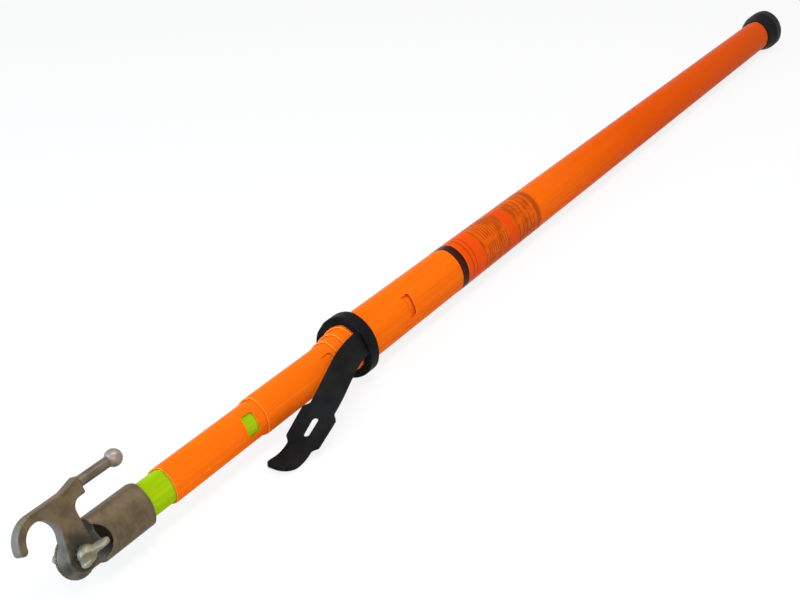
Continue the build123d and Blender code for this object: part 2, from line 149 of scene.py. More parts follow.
def leaf(mesh_editor, stations, steps, place):
    """Closed leaf of oval cuts along a line in local X and Y: spot, half width and half thickness of each."""
    rings = []
    for i, (x, y, half_width, half_thickness) in enumerate(stations):
        before, after = stations[max(i - 1, 0)], stations[min(i + 1, len(stations) - 1)]
        along = Vector((after[0] - before[0], after[1] - before[1])).normalized()
        ring = []
        for k in range(steps):
            sideways = half_width * cos(2 * pi * k / steps)
            spot = (x - along.y * sideways, y + along.x * sideways, half_thickness * sin(2 * pi * k / steps))
            ring.append(mesh_editor.verts.new(place @ Vector(spot)))
        rings.append(ring)
    for low, high in zip(rings, rings[1:]):
        for k in range(steps):
            mesh_editor.faces.new((low[k], low[(k + 1) % steps], high[(k + 1) % steps], high[k]))
    mesh_editor.faces.new(rings[0][::-1])
    mesh_editor.faces.new(rings[-1])


def mesh_from(mesh_editor, name):
    bmesh.ops.recalc_face_normals(mesh_editor, faces=mesh_editor.faces)
    mesh = bpy.data.meshes.new(name)
    mesh_editor.to_mesh(mesh)
    mesh_editor.free()
    return mesh


def melt_edges(piece, voxel, rounds):
    """Joins crossing shapes into one skin of voxels, in millimetres, and softens its edges as casting does."""
    skin = piece.modifiers.new("one skin", "REMESH")
    skin.mode = "VOXEL"
    skin.voxel_size = voxel * MM
    skin.use_smooth_shade = True
    soft = piece.modifiers.new("soft edges", "SMOOTH")
    soft.iterations = rounds
    soft.factor = 0.5


# ---------------------------------------------------------------- shader helpers

def shader_group(name, inputs, outputs):
    tree = bpy.data.node_groups.new(name, "ShaderNodeTree")
    for label, kind, value in inputs:
        tree.interface.new_socket(label, in_out="INPUT", socket_type=kind).default_value = value
    for label in outputs:
        tree.interface.new_socket(label, in_out="OUTPUT", socket_type="NodeSocketFloat")
    return tree, tree.nodes.new("NodeGroupInput"), tree.nodes.new("NodeGroupOutput")


def add_node(tree, kind, inputs=None, **settings):
    """A new node with its settings, and its inputs linked to sockets or set to values."""
    made = tree.nodes.new(kind)
    for key, value in settings.items():
        setattr(made, key, value)
    for key, value in (inputs or {}).items():
        if isinstance(value, bpy.types.NodeSocket):
            tree.links.new(value, made.inputs[key])
        else:
            made.inputs[key].default_value = value
    return made


def node(tree, kind, inputs=None, **settings):
    return add_node(tree, "ShaderNode" + kind, inputs, **settings)


def maths(tree, operation, first, second=0.0, clamp=False):
    return node(tree, "Math", {0: first, 1: second}, operation=operation, use_clamp=clamp).outputs[0]


def scaled(tree, value, share):
    return maths(tree, "MULTIPLY", value, share)


def spread(tree, value, low, high, to_low=0.0, to_high=1.0):
    """Smooth step of a value between low and high, which may run either way."""
    limits = {"From Min": low, "From Max": high, "To Min": to_low, "To Max": to_high}
    return node(tree, "MapRange", {"Value": value, **limits}, interpolation_type="SMOOTHSTEP").outputs[0]


def noise(tree, where, scale, detail=3.0, roughness=0.55):
    return node(tree, "TexNoise", {"Vector": where, "Scale": scale, "Detail": detail,
                                   "Roughness": roughness}).outputs["Fac"]


def blend_colour(tree, share, first, second):
    """The first colour with a share, which a socket gives, of the second; the keys are Mix's colour sockets."""
    first, second = ((*tone, 1) if isinstance(tone, tuple) else tone for tone in (first, second))
    return node(tree, "Mix", {0: share, 6: first, 7: second}, data_type="RGBA").outputs[2]


def apart_from(tree, spot):
    """Distance of the surface from a spot, in metres."""
    return node(tree, "VectorMath", {0: object_place(tree), 1: spot}, operation="DISTANCE").outputs["Value"]


def part_along(tree, vector, axis="X"):
    return node(tree, "SeparateXYZ", {0: vector}).outputs[axis]


def object_place(tree):
    return node(tree, "TexCoord").outputs["Object"]


def stretched(tree, where, scale):
    return node(tree, "Mapping", {"Vector": where, "Scale": scale}).outputs[0]


def finish_of(name, specular, metallic=0.0):
    """A new material with its Principled shader and tree."""
    material = bpy.data.materials.new(name)
    material.use_nodes = True
    tree = material.node_tree
    shader = tree.nodes["Principled BSDF"]
    shader.inputs["Metallic"].default_value = metallic
    shader.inputs["Specular IOR Level"].default_value = specular
    return material, tree, shader


def use_group(tree, group, **values):
    """Places a shared effect with its own values and gives its outputs."""
    made = tree.nodes.new("ShaderNodeGroup")
    made.node_tree = group
    for key, value in values.items():
        made.inputs[key.replace("_", " ").capitalize()].default_value = value
    return made.outputs


def raise_skin(tree, shader, height, relief, strength):
    """Bumps of this relief, in millimetres."""
    bump = node(tree, "Bump", {"Height": height, "Distance": relief * MM, "Strength": strength})
    tree.links.new(bump.outputs[0], shader.inputs["Normal"])


# ---------------------------------------------------------------- shared effects, with their sizes in millimetres

def per_metre(tree, size, times=1.0):
    """Noise scale for features of this size."""
    return maths(tree, "DIVIDE", times / MM, size)


def make_glass_filaments():
    """Resin-coated glass rovings drawn along the stick: fine streaks, wide tone bands and their ridges."""
    tree, given, out = shader_group("glass filaments", [("Roving width", "NodeSocketFloat", 1.2),
                                                        ("Band width", "NodeSocketFloat", 9.0)],
                                    ("Streak", "Band", "Height"))
    where = object_place(tree)
    fine_place, band_place = stretched(tree, where, (0.004, 1, 1)), stretched(tree, where, (0.03, 1, 1))
    fine = noise(tree, fine_place, per_metre(tree, given.outputs["Roving width"]), detail=2.0)
    band = noise(tree, band_place, per_metre(tree, given.outputs["Band width"]), detail=2.0)
    tree.links.new(spread(tree, fine, 0.3, 0.7), out.inputs["Streak"])
    tree.links.new(spread(tree, band, 0.3, 0.7), out.inputs["Band"])
    tree.links.new(fine, out.inputs["Height"])
    return tree


def make_handling_marks():
    """Short scuffs and rubbed patches left by handling."""
    tree, given, out = shader_group("handling marks", [("Patch size", "NodeSocketFloat", 30.0),
                                                       ("Amount", "NodeSocketFloat", 0.5)],
                                    ("Rubbed", "Speck"))
    where = object_place(tree)
    patch = noise(tree, where, per_metre(tree, given.outputs["Patch size"]), detail=5.0, roughness=0.65)
    line = maths(tree, "SUBTRACT", 0.72, scaled(tree, given.outputs["Amount"], 0.3))
    tree.links.new(spread(tree, patch, line, maths(tree, "ADD", line, 0.18)), out.inputs["Rubbed"])
    speck = noise(tree, where, per_metre(tree, given.outputs["Patch size"], times=12.0), detail=2.0)
    tree.links.new(spread(tree, speck, 0.62, 0.72), out.inputs["Speck"])
    return tree


def make_sand_skin():
    """Skin of a sand casting: grains, shallow pits and slow patches of tone."""
    tree, given, out = shader_group("sand cast skin", [("Grain size", "NodeSocketFloat", 0.9),
                                                       ("Patch size", "NodeSocketFloat", 14.0)],
                                    ("Mottle", "Pits", "Height"))
    where = object_place(tree)
    grain_scale = per_metre(tree, given.outputs["Grain size"])
    grain = noise(tree, where, grain_scale, detail=3.0, roughness=0.6)
    patch = noise(tree, where, per_metre(tree, given.outputs["Patch size"]), detail=4.0, roughness=0.6)
    cells = node(tree, "TexVoronoi", {"Vector": where, "Scale": scaled(tree, grain_scale, 0.4)})
    pits = spread(tree, cells.outputs["Distance"], 0.22, 0.05)
    tree.links.new(spread(tree, patch, 0.3, 0.7), out.inputs["Mottle"])
    tree.links.new(pits, out.inputs["Pits"])
    tree.links.new(maths(tree, "SUBTRACT", grain, scaled(tree, pits, 0.35)), out.inputs["Height"])
    return tree


def make_edge_rub():
    """Worn outer edges and darker inner corners, from how sharply the surface turns."""
    tree, given, out = shader_group("edge rub", [("Reach", "NodeSocketFloat", 0.06)], ("Worn", "Concave"))
    turn = node(tree, "NewGeometry").outputs["Pointiness"]
    edge_start, corner_start = 0.505, 0.495           # either side of a flat surface, which has 0.5
    edge_end = maths(tree, "ADD", edge_start, given.outputs["Reach"])
    corner_end = maths(tree, "SUBTRACT", corner_start, given.outputs["Reach"])
    tree.links.new(spread(tree, turn, edge_start, edge_end), out.inputs["Worn"])
    tree.links.new(spread(tree, turn, corner_start, corner_end), out.inputs["Concave"])
    return tree


GLASS_FILAMENTS = make_glass_filaments()
HANDLING_MARKS = make_handling_marks()
SAND_SKIN = make_sand_skin()
EDGE_RUB = make_edge_rub()


# ---------------------------------------------------------------- materials

def fibreglass(name, deep, bright, cut_edge, butt_shade=None):
    """Coated tube: drawn streaks and paler sawn ends; on the base tube a painted shade also darkens the colour
    towards the butt, where the light falls off.
    """
    material, tree, shader = finish_of(name, specular=0.004)
    grain = use_group(tree, GLASS_FILAMENTS, roving_width=1.4, band_width=11.0)
    marks = use_group(tree, HANDLING_MARKS, patch_size=26.0, amount=0.35)
    colour = blend_colour(tree, scaled(tree, grain["Streak"], 0.55), bright, deep)
    colour = blend_colour(tree, scaled(tree, grain["Band"], 0.35), colour, deep)
    # painted shade: the base tube's colour darkens towards the butt, where the light falls off
    if butt_shade:
        along = part_along(tree, object_place(tree))
        depth = spread(tree, along, BUTT_SHADE_START * MM, BUTT_SHADE_FULL * MM, to_high=0.9)
        colour = blend_colour(tree, depth, colour, butt_shade)
    facing = part_along(tree, node(tree, "TexCoord").outputs["Normal"])
    sawn = spread(tree, maths(tree, "ABSOLUTE", facing), 0.45, 0.8)
    colour = blend_colour(tree, scaled(tree, sawn, 0.6), colour, cut_edge)
    tree.links.new(colour, shader.inputs["Base Color"])
    rough = maths(tree, "ADD", scaled(tree, marks["Rubbed"], 0.12), 0.27)
    rough = maths(tree, "ADD", rough, scaled(tree, sawn, 0.3))
    tree.links.new(rough, shader.inputs["Roughness"])
    raise_skin(tree, shader, grain["Height"], relief=0.06, strength=0.5)
    return material


def moulded_rubber(name, dark, bloom, roughness):
    """Black rubber: fine moulded grain with a grey bloom where it is rubbed."""
    material, tree, shader = finish_of(name, specular=0.03)
    skin = use_group(tree, SAND_SKIN, grain_size=0.7, patch_size=22.0)
    marks = use_group(tree, HANDLING_MARKS, patch_size=18.0, amount=0.5)
    colour = blend_colour(tree, scaled(tree, skin["Mottle"], 0.5), dark, bloom)
    colour = blend_colour(tree, scaled(tree, marks["Rubbed"], 0.45), colour, bloom)
    tree.links.new(colour, shader.inputs["Base Color"])
    rough = maths(tree, "SUBTRACT", roughness, scaled(tree, marks["Rubbed"], 0.1))
    tree.links.new(rough, shader.inputs["Roughness"])
    raise_skin(tree, shader, skin["Height"], relief=0.1, strength=0.45)
    return material


def cast_metal(name, tones, metallic, roughness, grain_size, relief, edge_wear, bright_spot=None,
               grease_and_shade_spot=None, lathe_lines=0.0, hollow_light=None, head_side_light=None):
    """Sand-cast or plated metal with dark, light and worn tones: mottled skin, pits, rubbed edges, dark corners.

    A spot, given with its reach, may be worn bright, or darkened round the bolt with painted shade of the wing,
    partly old grease; the skin may keep faint lathe lines round the stick; faces that look in at the stick's axis
    may be painted pale as light inside the hollow, and faces that look out at the head end painted with cool light.
    """
    dark, light, worn = tones
    material, tree, shader = finish_of(name, metallic=metallic, specular=0.25)
    skin = use_group(tree, SAND_SKIN, grain_size=grain_size, patch_size=13.0)
    edge = use_group(tree, EDGE_RUB, reach=0.05)
    marks = use_group(tree, HANDLING_MARKS, patch_size=9.0, amount=0.4)
    colour = blend_colour(tree, skin["Mottle"], dark, light)
    colour = blend_colour(tree, scaled(tree, skin["Pits"], 0.5), colour, dark)
    rubbed = maths(tree, "ADD", scaled(tree, edge["Worn"], edge_wear), scaled(tree, marks["Rubbed"], 0.15),
                   clamp=True)
    if bright_spot:
        spot, reach = bright_spot
        bright = spread(tree, apart_from(tree, spot), reach * 1.25, reach * 0.9, to_high=0.85)
        rubbed = maths(tree, "MAXIMUM", rubbed, bright)
    colour = blend_colour(tree, rubbed, colour, worn)
    shade = tuple(0.35 * c for c in dark)
    # inner corners are darkened towards a third of the dark tone
    colour = blend_colour(tree, scaled(tree, edge["Concave"], 0.7), colour, shade)
    where = node(tree, "TexCoord").outputs
    if lathe_lines:
        round_stick = stretched(tree, where["Object"], (1, 0.03, 0.03))
        lines = noise(tree, round_stick, scale=620.0, detail=3.0, roughness=0.7)
        lines = spread(tree, lines, 0.4, 0.68, to_high=lathe_lines)
        colour = blend_colour(tree, lines, colour, shade)
    # painted light: faces that look in at the stick's axis are painted pale for light reaching inside the hollow
    if hollow_light:
        across = stretched(tree, where["Object"], (0, 1, 1))
        inward = node(tree, "VectorMath", {0: across, 1: where["Normal"]}, operation="DOT_PRODUCT")
        lit_inside = spread(tree, inward.outputs["Value"], -0.004, -0.009, to_high=0.8)
        colour = blend_colour(tree, lit_inside, colour, hollow_light)
    # painted light: faces that look out at the head end get a pale cool tone for the cool front light falling on
    # them
    if head_side_light:
        ahead = spread(tree, part_along(tree, where["Normal"]), 0.25, 0.6, to_high=0.7)
        colour = blend_colour(tree, ahead, colour, head_side_light)
    # painted shade: a ragged greenish-black patch round the bolt for the wing's shade, partly old grease
    if grease_and_shade_spot:
        spot, reach = grease_and_shade_spot
        ragged = maths(tree, "ADD", apart_from(tree, spot), scaled(tree, skin["Mottle"], 0.5 * reach))
        grease_and_shade = spread(tree, ragged, reach * 1.5, reach * 0.7, to_high=0.9)
        colour = blend_colour(tree, grease_and_shade, colour, tuple(0.3 * c for c in (dark[0], dark[0], dark[1])))
    tree.links.new(colour, shader.inputs["Base Color"])
    rough = maths(tree, "ADD", roughness, scaled(tree, skin["Mottle"], 0.1))
    rough = maths(tree, "SUBTRACT", rough, scaled(tree, rubbed, 0.12))
    tree.links.new(rough, shader.inputs["Roughness"])
    raise_skin(tree, shader, skin["Height"], relief, strength=0.6)
    return material


# Layout of the label, in shares of its length from the front
RED_FIELDS = ((0.01, 0.22), (0.54, 0.65))
BORDERS = ((0.93, 0.985), (0.22, 0.235))
HEAVY_RULES = ((0.055, 0.072), (0.1, 0.115))
RULE_GROUPS = ((0.027, 0.4, 0.25, 0.53), (0.052, 0.3, 0.66, 0.9))     # pitch, inked part of it, start and end
AGED_FIELD = (0.2, 0.95)

LABEL_ORANGE, LABEL_SHADE, LABEL_AGED = (0.74, 0.11, 0.0035), (0.58, 0.074, 0.002), (0.36, 0.046, 0.003)
LABEL_RED, LABEL_BORDER, LABEL_INK = (0.76, 0.06, 0.003), (0.24, 0.034, 0.004), (0.13, 0.018, 0.002)
BAND_BLACK, BAND_MAROON, BAND_RUBBED = (0.02, 0.004, 0.003), (0.055, 0.006, 0.003), (0.07, 0.02, 0.012)


def printed_film(name):
    """Film label: plain red fields between groups of thin dark rules that run round the tube."""
    material, tree, shader = finish_of(name, specular=0.01)
    marks = use_group(tree, HANDLING_MARKS, patch_size=20.0, amount=0.4)
    grain = use_group(tree, GLASS_FILAMENTS, roving_width=2.0, band_width=12.0)
    where = object_place(tree)
    up = node(tree, "VectorMath", {0: where, 1: UPFACE}, operation="DOT_PRODUCT").outputs["Value"]
    from_front = maths(tree, "SUBTRACT", LABEL_FRONT * MM, part_along(tree, where))
    run = scaled(tree, from_front, 1 / (LABEL_LENGTH * MM))       # 0 at the label's front, 1 at its rear
    ragged = scaled(tree, maths(tree, "SUBTRACT", noise(tree, where, scale=130.0, detail=2.0), 0.5), 0.02)

    def either(first, second):
        return maths(tree, "MAXIMUM", first, second)

    def both(first, second):
        return maths(tree, "MULTIPLY", first, second)

    def field(start, end, edge=0.006):
        return both(spread(tree, run, start, start + edge), spread(tree, run, end, end - edge))

    def rules(pitch, share, start, end, edge=0.08):
        step = maths(tree, "FRACT", scaled(tree, run, 1 / pitch))
        line = both(spread(tree, step, 0.0, edge), spread(tree, step, share, share - edge))
        return both(line, field(start, end))

    column = maths(tree, "ADD", up, ragged)
    broken = either(spread(tree, column, 0.002, 0.0), spread(tree, column, 0.006, 0.008))
    ruled = both(either(*(rules(*group) for group in RULE_GROUPS)), broken)
    ruled = either(ruled, either(*(field(*span) for span in HEAVY_RULES)))
    red = either(*(field(*span) for span in RED_FIELDS))
    border = either(*(field(*span) for span in BORDERS))
    patches = noise(tree, where, scale=60.0, detail=4.0)
    aged = both(spread(tree, patches, 0.38, 0.66, to_high=0.6), field(*AGED_FIELD))
    colour = blend_colour(tree, scaled(tree, grain["Band"], 0.6), LABEL_ORANGE, LABEL_SHADE)
    colour = blend_colour(tree, aged, colour, LABEL_AGED)
    colour = blend_colour(tree, scaled(tree, red, 0.75), colour, LABEL_RED)
    colour = blend_colour(tree, scaled(tree, border, 0.6), colour, LABEL_BORDER)
    colour = blend_colour(tree, scaled(tree, ruled, 0.5), colour, LABEL_INK)
    tree.links.new(colour, shader.inputs["Base Color"])
    rough = maths(tree, "ADD", scaled(tree, marks["Rubbed"], 0.15), 0.28)
    tree.links.new(rough, shader.inputs["Roughness"])
    raise_skin(tree, shader, ruled, relief=0.02, strength=0.3)
    return material


def dark_band_film(name):
    """Dark film that runs from black at its rear edge to maroon at its front."""
    material, tree, shader = finish_of(name, specular=0.03)
    marks = use_group(tree, HANDLING_MARKS, patch_size=14.0, amount=0.5)
    ahead = spread(tree, part_along(tree, object_place(tree)), BAND_REAR * MM, BAND_FRONT * MM)
    colour = blend_colour(tree, ahead, BAND_BLACK, BAND_MAROON)
    colour = blend_colour(tree, scaled(tree, marks["Rubbed"], 0.3), colour, BAND_RUBBED)
    tree.links.new(colour, shader.inputs["Base Color"])
    rough = maths(tree, "ADD", scaled(tree, marks["Speck"], 0.12), 0.3)
    tree.links.new(rough, shader.inputs["Roughness"])
    return material


def moulded_nylon(name, tone, shade):
    """Plain nylon with a faint mottle."""
    material, tree, shader = finish_of(name, specular=0.4)
    skin = use_group(tree, SAND_SKIN, grain_size=0.5, patch_size=8.0)
    colour = blend_colour(tree, skin["Mottle"], tone, shade)
    tree.links.new(colour, shader.inputs["Base Color"])
    rough = maths(tree, "ADD", scaled(tree, skin["Mottle"], 0.12), 0.38)
    tree.links.new(rough, shader.inputs["Roughness"])
    raise_skin(tree, shader, skin["Height"], relief=0.04, strength=0.3)
    return material


# Tones: deep, bright and sawn for the tubes, and dark, light and worn for the metals
ORANGE = ((0.75, 0.112, 0.0025), (0.92, 0.163, 0.006), (0.92, 0.3, 0.05))
BRONZE = ((0.088, 0.061, 0.032), (0.152, 0.11, 0.062), (0.23, 0.2, 0.15))
PIN_BRONZE = ((0.1, 0.075, 0.05), (0.165, 0.13, 0.095), (0.3, 0.25, 0.21))
BLACKENED = ((0.03, 0.03, 0.028), (0.06, 0.058, 0.05), (0.14, 0.135, 0.12))
ZINC = ((0.165, 0.148, 0.095), (0.235, 0.215, 0.143), (0.37, 0.35, 0.29))
BRIGHT_STEEL = ((0.32, 0.33, 0.35), (0.45, 0.46, 0.48), (0.6, 0.6, 0.6))
# reach of the painted shade round the bolt, which is partly grease
GREASE_AND_SHADE_REACH = 18.0                  # millimetres round the bolt

orange_tube = fibreglass("orange fibreglass", *ORANGE)
base_orange = fibreglass("base tube fibreglass", *ORANGE, butt_shade=(0.72, 0.076, 0.0008))
lime_tube = fibreglass("lime fibreglass", (0.25, 0.4, 0.003), (0.34, 0.52, 0.006), (0.5, 0.62, 0.12))
black_rubber = moulded_rubber("black rubber", (0.004, 0.004, 0.0042), (0.011, 0.011, 0.0115), roughness=0.46)
strap_rubber = moulded_rubber("strap rubber", (0.006, 0.006, 0.006), (0.015, 0.0148, 0.0145), roughness=0.5)
# the hook's head-end faces carry painted cool light, and a painted shade lies round the bolt
cast_bronze = cast_metal("cast bronze", BRONZE, metallic=0.5, roughness=0.5, grain_size=0.9, relief=0.12,
                         edge_wear=0.4, grease_and_shade_spot=(BOLT_FACE, GREASE_AND_SHADE_REACH * MM),
                         head_side_light=(0.135, 0.128, 0.118))
# the ferrule's inward faces are painted pale as light inside its hollow
ferrule_bronze = cast_metal("ferrule bronze", BRONZE, metallic=0.5, roughness=0.5, grain_size=0.9, relief=0.1,
                            edge_wear=0.4, grease_and_shade_spot=(BOLT_FACE, GREASE_AND_SHADE_REACH * MM), lathe_lines=0.2,
                            hollow_light=(0.4, 0.41, 0.41))
rubbed_pin = cast_metal("rubbed bronze pin", PIN_BRONZE, metallic=0.5, roughness=0.42, grain_size=1.2,
                        relief=0.03, edge_wear=0.3, bright_spot=(BALL_CENTRE, BALL_RADIUS * MM))
dark_steel = cast_metal("blackened spring washer", BLACKENED, metallic=0.7, roughness=0.45, grain_size=0.5,
                        relief=0.03, edge_wear=0.3)
zinc_plate = cast_metal("zinc plated steel", ZINC, metallic=0.6, roughness=0.44, grain_size=0.7,
                        relief=0.05, edge_wear=0.75)
spring_steel = cast_metal("spring steel", BRIGHT_STEEL, metallic=0.9, roughness=0.3, grain_size=0.4,
                          relief=0.02, edge_wear=0.75)
label_film = printed_film("label film")
band_film = dark_band_film("band film")
plug_nylon = moulded_nylon("plug nylon", (0.55, 0.53, 0.47), (0.47, 0.45, 0.39))
button_nylon = moulded_nylon("button nylon", (0.03, 0.03, 0.032), (0.05, 0.05, 0.052))

NODE_FINISH = {"base_tube": base_orange, "tip_tube": lime_tube, "butt_cap": black_rubber,
               "collar_ring": black_rubber, "hold_strap": strap_rubber, "label_wrap": label_film,
               "index_band": band_film, "spline_ferrule": ferrule_bronze, "hook_casting": cast_bronze,
               "pull_pin": rubbed_pin, "wing_bolt": zinc_plate, "lock_washer": dark_steel}
for number in SECTIONS:
    NODE_FINISH[f"section_tube_{number}"] = orange_tube
    NODE_FINISH[f"button_plug_{number}"] = plug_nylon
    NODE_FINISH[f"lock_button_{number}"] = button_nylon
    NODE_FINISH[f"button_spring_{number}"] = spring_steel
for name, cad_node in node_objects.items():
    for place in cad_node.material_slots:
        place.material = NODE_FINISH[name]


# ---------------------------------------------------------------- hold-down strap

# Sizes in millimetres and angles in degrees
STRAP_THICKNESS, EDGE_ROUND, EDGE_SEGMENTS, EDGE_ANGLE = 3.5, 1.1, 4, 50.0
NECK_WIDTH, PAD_WIDTH, PAD_LENGTH, SHOULDER = 24.1, 33.6, 42.4, 7.1
SLOT_LENGTH, SLOT_WIDTH = 20.5, 6.3
STRAP_START, STRAP_OUT = 1404.0, 25.885
STRAP_ROOT = ALONG * STRAP_START + OUTWARD * STRAP_OUT
STRAP_PAD = STRAP_ROOT + Vector((94.5, 19.0, -14.8))
PAD_PITCH, PAD_TWIST, ROOT_TWIST, TWIST_EASE = 29.0, 14.0, 60.0, 1.5
TAIL_RUN, TAIL_TURN, TAIL_END, FAR_ROUND, NEAR_ROUND = 20.0, 36.0, 14.0, 13.5, 5.0
NECK_ROWS, SHOULDER_ROWS, LEAD_ROWS, SLOT_ROWS, TAIL_ROWS, TIP_ROWS = 36, 6, 3, 6, 14, 16
SLOT_STEP = 3.5                                     # from the middle of the slot to the rows beside it
STRAP_COLUMNS = (0.0, 0.08, 0.3, 0.55, 0.8, 1.0)    # shares of the way in from the strap's edge


def strap_row(spot, along, twist, width, opening):
    """One row across the strap, square to its run and tilted by the twist."""
    side = Vector((0, cos(radians(twist)), -sin(radians(twist))))
    side = (side - along * side.dot(along)).normalized()
    return spot, side, width / 2, opening


def strap_rows():
    """Rows across the strap from the collar to the tip: centre, sideways, half width and half opening."""
    arrive = Vector((cos(radians(PAD_PITCH)), 0, -sin(radians(PAD_PITCH))))
    span = (STRAP_PAD - STRAP_ROOT).length
    rows = []
    for i in range(NECK_ROWS):
        t = i / NECK_ROWS
        spot = (STRAP_ROOT * (2 * t**3 - 3 * t**2 + 1) + ALONG * (span * (t**3 - 2 * t**2 + t))
                + STRAP_PAD * (3 * t**2 - 2 * t**3) + arrive * (span * (t**3 - t**2)))
        along = (STRAP_ROOT * (6 * t**2 - 6 * t) + ALONG * (span * (3 * t**2 - 4 * t + 1))
                 + STRAP_PAD * (6 * t - 6 * t**2) + arrive * (span * (3 * t**2 - 2 * t))).normalized()
        twist = PAD_TWIST + (ROOT_TWIST - PAD_TWIST) * (1 - t) ** TWIST_EASE
        rows.append(strap_row(spot, along, twist, NECK_WIDTH, 0))

    slot_radius = SLOT_WIDTH / 2
    slot_start = (PAD_LENGTH - SLOT_LENGTH) / 2
    runs = [SHOULDER * i / SHOULDER_ROWS for i in range(SHOULDER_ROWS)]
    runs += [SHOULDER + (slot_start - SHOULDER) * i / LEAD_ROWS for i in range(LEAD_ROWS)]
    runs += [slot_start + slot_radius * (1 - cos(pi / 2 * i / SLOT_ROWS)) for i in range(SLOT_ROWS + 1)]
    slot_runs = [PAD_LENGTH / 2 + step for step in (-SLOT_STEP, 0, SLOT_STEP)]
    for run in runs + slot_runs + [PAD_LENGTH - run for run in runs[:0:-1]]:
        ease = min(1.0, min(run, PAD_LENGTH - run) / SHOULDER)
        width = NECK_WIDTH + (PAD_WIDTH - NECK_WIDTH) * (1 - cos(pi * ease)) / 2
        inside = min(run - slot_start, PAD_LENGTH - slot_start - run)
        back = min(max(inside, 0.0), slot_radius)
        opening = sqrt(slot_radius**2 - (slot_radius - back) ** 2)
        rows.append(strap_row(STRAP_PAD + arrive * run, arrive, PAD_TWIST * (1 - run / PAD_LENGTH), width, opening))

    tip = STRAP_PAD + arrive * PAD_LENGTH
    turn_radius = TAIL_RUN / radians(TAIL_TURN)
    lift = Vector((sin(radians(PAD_PITCH)), 0, cos(radians(PAD_PITCH))))
    for i in range(TAIL_ROWS + 1):
        angle = radians(TAIL_TURN) * i / TAIL_ROWS
        onward = arrive * cos(angle) + lift * sin(angle)
        spot = tip + arrive * (turn_radius * sin(angle)) + lift * (turn_radius * (1 - cos(angle)))
        rows.append(strap_row(spot, onward, 0, NECK_WIDTH, 0))
    for i in range(1, TIP_ROWS + 1):
        reach = TAIL_END * sin(pi / 2 * i / TIP_ROWS)
        near, far = (corner - sqrt(corner**2 - max(0.0, reach - TAIL_END + corner) ** 2)
                     for corner in (NEAR_ROUND, FAR_ROUND))
        centre = spot + onward * reach + Vector((0, (near - far) / 2, 0))
        rows.append(strap_row(centre, onward, 0, NECK_WIDTH - near - far, 0))
    return rows


def make_strap():
    """Moulded strap with rounded edges and a slot through its pad."""
    editor = bmesh.new()
    for hand in (-1, 1):
        previous = None
        for spot, side, half_width, opening in strap_rows():
            out = [half_width * (1 - share) + opening * share for share in STRAP_COLUMNS]
            row = [editor.verts.new((spot + side * hand * apart) * MM) for apart in out]
            if previous:
                for a, b, c, d in zip(previous, previous[1:], row[1:], row):
                    editor.faces.new((a, b, c, d) if hand < 0 else (d, c, b, a))
            previous = row
    bmesh.ops.remove_doubles(editor, verts=editor.verts, dist=MERGE)
    strap = new_piece("hold_down_strap", mesh_from(editor, "hold_down_strap"))
    wall = strap.modifiers.new("thickness", "SOLIDIFY")
    wall.thickness = STRAP_THICKNESS * MM
    wall.offset = 0
    wall.use_even_offset = True
    rounding = strap.modifiers.new("moulded edges", "BEVEL")
    rounding.width = EDGE_ROUND * MM
    rounding.segments = EDGE_SEGMENTS
    rounding.limit_method = "ANGLE"
    rounding.angle_limit = radians(EDGE_ANGLE)
    plain_mesh(strap)
    smooth(strap.data)
    wear_finish(strap, "base", "black_rubber", strap_rubber, "hold_strap")


make_strap()


# ---------------------------------------------------------------- repeats along a ring and a thread

HELIX_STEPS, RIDGE_CORNERS = 28, 6


def modifier_tree(name, inputs):
    """Geometry tree with named sizes; every tree here starts from the object's own mesh."""
    tree = bpy.data.node_groups.new(name, "GeometryNodeTree")
    tree.interface.new_socket("Geometry", in_out="INPUT", socket_type="NodeSocketGeometry")
    sockets = {}
    for label, kind in inputs:
        sockets[label] = tree.interface.new_socket(label, in_out="INPUT", socket_type=kind).identifier
    tree.interface.new_socket("Geometry", in_out="OUTPUT", socket_type="NodeSocketGeometry")
    return tree, sockets, tree.nodes.new("NodeGroupInput"), tree.nodes.new("NodeGroupOutput")


def geo(tree, kind, inputs=None):
    return add_node(tree, "GeometryNode" + kind, inputs)


def end_tree(tree, result, material, out):
    real = geo(tree, "RealizeInstances", {0: result})
    painted = geo(tree, "SetMaterial", {"Geometry": real.outputs[0], "Material": material})
    tree.links.new(painted.outputs[0], out.inputs[0])


def ring_tree():
    """Copies of one shape round a ring, each turned with the ring."""
    tree, sockets, given, out = modifier_tree("ring of copies", [("Count", "NodeSocketInt"),
                                                                 ("Ring radius", "NodeSocketFloat"),
                                                                 ("Finish", "NodeSocketMaterial")])
    ring = geo(tree, "MeshCircle", {"Vertices": given.outputs["Count"], "Radius": given.outputs["Ring radius"]})
    index = geo(tree, "InputIndex")
    share = maths(tree, "DIVIDE", index.outputs[0], given.outputs["Count"])
    turn = node(tree, "CombineXYZ", {"Z": scaled(tree, share, 2 * pi)})
    copies = geo(tree, "InstanceOnPoints", {"Points": ring.outputs[0], "Instance": given.outputs["Geometry"],
                                            "Rotation": turn.outputs[0]})
    end_tree(tree, copies.outputs[0], given.outputs["Finish"], out)
    return tree, sockets


